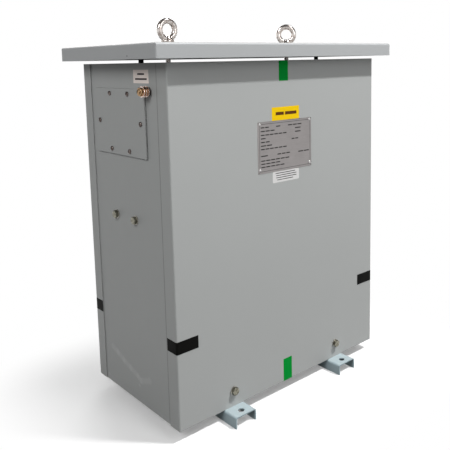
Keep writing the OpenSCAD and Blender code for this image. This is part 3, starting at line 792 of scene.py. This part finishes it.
# Labels: a yellow and a white one above and below the plate, and a pinkish one by the earth
# stud, each a self-adhesive sheet printed with nothing but plain bars.
LABEL, BAR_CORNER = 0.15, 0.4
PAPER = {"dust": 0.0, "peel": 0.004, "sway": 0.1, "edge": 0.05, "specular": 0.15}
yellow = painted("yellow_label", shade(236, 196, 10), 0.45, mottle=0.05, **PAPER)
white = painted("white_label", shade(214, 213, 212), 0.5, mottle=0.05, **PAPER)
pink = painted("earth_label", shade(250, 238, 231), 0.5, mottle=0.06, **PAPER)
brown = painted("brown_ink", shade(84, 48, 8), 0.5, mottle=0.1, **PAPER)

# Each label's paper, ink, centre, size, corner radius and side, and its bars' height and places
LABELS = [
    ("yellow_label", yellow, brown, (2, 658.8), (85, 29.4), 0.5, "front", 7,
     [(14.5, -31, 25), (14.5, -2, 36)]),
    ("white_label", white, print_and_shade_ink, (1, 517.2), (83, 25.4), 3, "front", 1.6,
     [(4.5, -33, 62), (9.5, -31, 64), (14.5, -31, 64), (19.5, -28, 50)]),
    ("earth_label", pink, print_and_shade_ink, (-75.5, 749), (58, 27), 1, "left", 3.4,
     [(8.5, -13, 26), (18.5, -22, 44)])]
for name, paper, print_ink, (across, level), (width, height), corner, side, tall, bars in LABELS:
    at = (across, FRONT_FACE, level) if side == "front" else (LEFT_FACE, across, level)
    turn = 0 if side == "front" else -pi / 2
    sheet = seated(slip(width, height, LABEL, corner), at, side, turn)
    piece([sheet], name, paper, "enclosure_paint")
    printed = joined([slip(length, tall, LABEL + INK, BAR_CORNER,
                           (start + length / 2, height / 2 - down))
                      for down, start, length in bars])
    piece([seated(printed, at, side, turn)], name + "_bars", print_ink, "enclosure_paint")


# Tapes: strips of green tape on the front cover's centre line, and black tape round three of
# the corners, all pressed onto the paint.
VINYL = {"peel": 0.01, "sway": 0.4, "edge": 0.05, "specular": 0.04}
green = painted("green_tape", shade(0, 142, 50), 0.5, mottle=0.12, dust=0.05, **VINYL)
black = painted("black_tape", shade(10, 10, 9), 0.5, mottle=0.2, dust=0.1, **VINYL)
BODY = (2 * face("front_cover", HIGH, X), -2 * FRONT_FACE)
BEND, TAPE, GLUE = 3.5, 0.2, 0.02


def taped(name, finish, route, low, high):
    """A strip of tape that follows a route in plan, from one level to another."""
    strip = drawn([(x * MM, y * MM, low * MM) for x, y in route])
    bpy.ops.object.mode_set(mode="EDIT")
    bpy.ops.mesh.select_all(action="SELECT")
    bpy.ops.mesh.extrude_region_move(TRANSFORM_OT_translate={"value": (0, 0, (high - low) * MM)})
    bpy.ops.object.mode_set(mode="OBJECT")
    applied(strip, "SOLIDIFY", thickness=TAPE * MM, offset=0)
    bpy.ops.object.mode_set(mode="EDIT")
    bpy.ops.mesh.select_all(action="SELECT")
    bpy.ops.mesh.normals_make_consistent(inside=False)
    bpy.ops.object.mode_set(mode="OBJECT")
    piece([strip], name, finish, "gasket_rubber")


def round_corner(side, end, across, back):
    """A route from the front or rear, at a distance from the middle, to a place on a side."""
    out = TAPE / 2 + GLUE
    centre = (BODY[0] / 2 - BEND, BODY[1] / 2 - BEND)
    arc = [(centre[0] + (BEND + out) * sin(a), centre[1] + (BEND + out) * cos(a))
           for a in [i * pi / 12 for i in range(7)]]
    line = [(across, BODY[1] / 2 + out)] + arc + [(BODY[0] / 2 + out, back)]
    return [(side * x, end * y) for x, y in line]


skin_y = -BODY[1] / 2 - TAPE / 2 - GLUE
for name, left, right, low, high in (("green_tape_top", -17.5, 10.5, 731, 775.4),
                                     ("green_tape_bottom", -15, 12, 26.8, 81)):
    taped(name, green, [(left, skin_y), (right, skin_y)], low, high)

# The black tapes end just short of the edges of the covers' flanges
BLACK_LOW, BLACK_HIGH, SHORT = 192, 219, 0.4
tape_back = SHORT - face("front_cover", HIGH, Y)
for name, side, end, across in (("black_tape_front_left", -1, -1, 257.5),
                                ("black_tape_front_right", 1, -1, 254.5),
                                ("black_tape_rear_left", -1, 1, 257.5)):
    taped(name, black, round_corner(side, end, across, tape_back), BLACK_LOW, BLACK_HIGH)


# Studio: a wide pale floor that fades into a white surround, a steep lamp in front and three
# soft ones around. The floor bounces less light than it shows.
BOUNCE, SHOWN = shade(85, 85, 85), (0.97, 0.97, 0.97, 1)
FLOOR_WIDE, NEAR_WHITE, FADE = 30, 0.2, 0.25


def seen_directly(tree):
    """1 for what the camera, a mirror or a pane shows, and 0 for light that scatters."""
    path = wire(tree, "LightPath")
    return maths(tree, "MAXIMUM", path.outputs["Is Camera Ray"], maths(
        tree, "MAXIMUM", path.outputs["Is Glossy Ray"], path.outputs["Is Transmission Ray"]))


floor = begin("plane", size=FLOOR_WIDE)
floor.name = "floor"
floor_finish = bpy.data.materials.new("floor_white")
floor_finish.use_nodes = True
tree = floor_finish.node_tree
shader = tree.nodes["Principled BSDF"]
shown = seen_directly(tree)
tree.links.new(tinted(tree, shown, BOUNCE, SHOWN), shader.inputs["Base Color"])
shader.inputs["Roughness"].default_value = 0.9
shader.inputs["Specular IOR Level"].default_value = 0.0

# The floor keeps the shadow near the object, and turns white with the distance from its edges
spread = arrows(tree, "ABSOLUTE", wire(tree, "TexCoord").outputs["Object"], (0, 0, 0))
beyond = arrows(tree, "SUBTRACT", spread, (*cad_box[1][:2], 0))
distance = arrows(tree, "LENGTH", arrows(tree, "MAXIMUM", beyond, (0, 0, 0)), (0, 0, 0), "Value")
white_out = maths(tree, "MULTIPLY", ramp(tree, distance, 0.0, FADE, NEAR_WHITE, 1.0), shown)
blank = wire(tree, "Emission", {"Color": (1, 1, 1, 1), "Strength": 1.0})
mixed = wire(tree, "MixShader", {0: white_out, 1: shader.outputs[0], 2: blank.outputs[0]})
tree.links.new(mixed.outputs[0], tree.nodes["Material Output"].inputs["Surface"])
floor.data.materials.append(floor_finish)

# The surround is white to the camera. In mirrors it is white near the floor and grey above.
FILL, CEILING, WHITE_UP_TO, GREY_FROM = 0.18, 0.06, 0.1, 0.35
world = bpy.data.worlds.new("studio")
bpy.context.scene.world = world
world.use_nodes = True
tree = world.node_tree
path = wire(tree, "LightPath")
height = wire(tree, "SeparateXYZ", {0: wire(tree, "TexCoord").outputs["Generated"]}).outputs["Z"]
mirrored = ramp(tree, height, WHITE_UP_TO, GREY_FROM, 1.0, CEILING)
strength = maths(tree, "MAXIMUM", path.outputs["Is Camera Ray"], maths(
    tree, "MAXIMUM", path.outputs["Is Transmission Ray"],
    maths(tree, "MULTIPLY", path.outputs["Is Glossy Ray"], mirrored)))
tree.nodes["Background"].inputs["Color"].default_value = (1, 1, 1, 1)
tree.links.new(maths(tree, "MAXIMUM", strength, FILL), tree.nodes["Background"].inputs["Strength"])

# Soft rectangular lamps, each with its place, width and depth, power in watts, and aim
BODY_MIDDLE = (0, 0, 0.4)
LAMPS = {"lamp_steep": ((1.65, -2.08, 4.45), (0.75, 0.18), 270, (1.65, 0, 0.4)),
         "lamp_left": ((-2.7, -0.9, 2.5), (1.6, 1.4), 48, BODY_MIDDLE),
         "lamp_front": ((0.1, -2.8, 1.9), (1.0, 2.2), 27, BODY_MIDDLE),
         "lamp_rear": ((1.2, 2.4, 1.3), (1.6, 1.4), 46, BODY_MIDDLE)}
for name, (at, (width, depth), watts, aim) in LAMPS.items():
    bpy.ops.object.light_add(type="AREA", location=at)
    light = bpy.context.object
    light.name = name
    light.data.shape = "RECTANGLE"
    light.data.size, light.data.size_y = width, depth
    light.data.energy = watts
    light.rotation_euler = (Vector(aim) - Vector(at)).to_track_quat("-Z", "Y").to_euler()
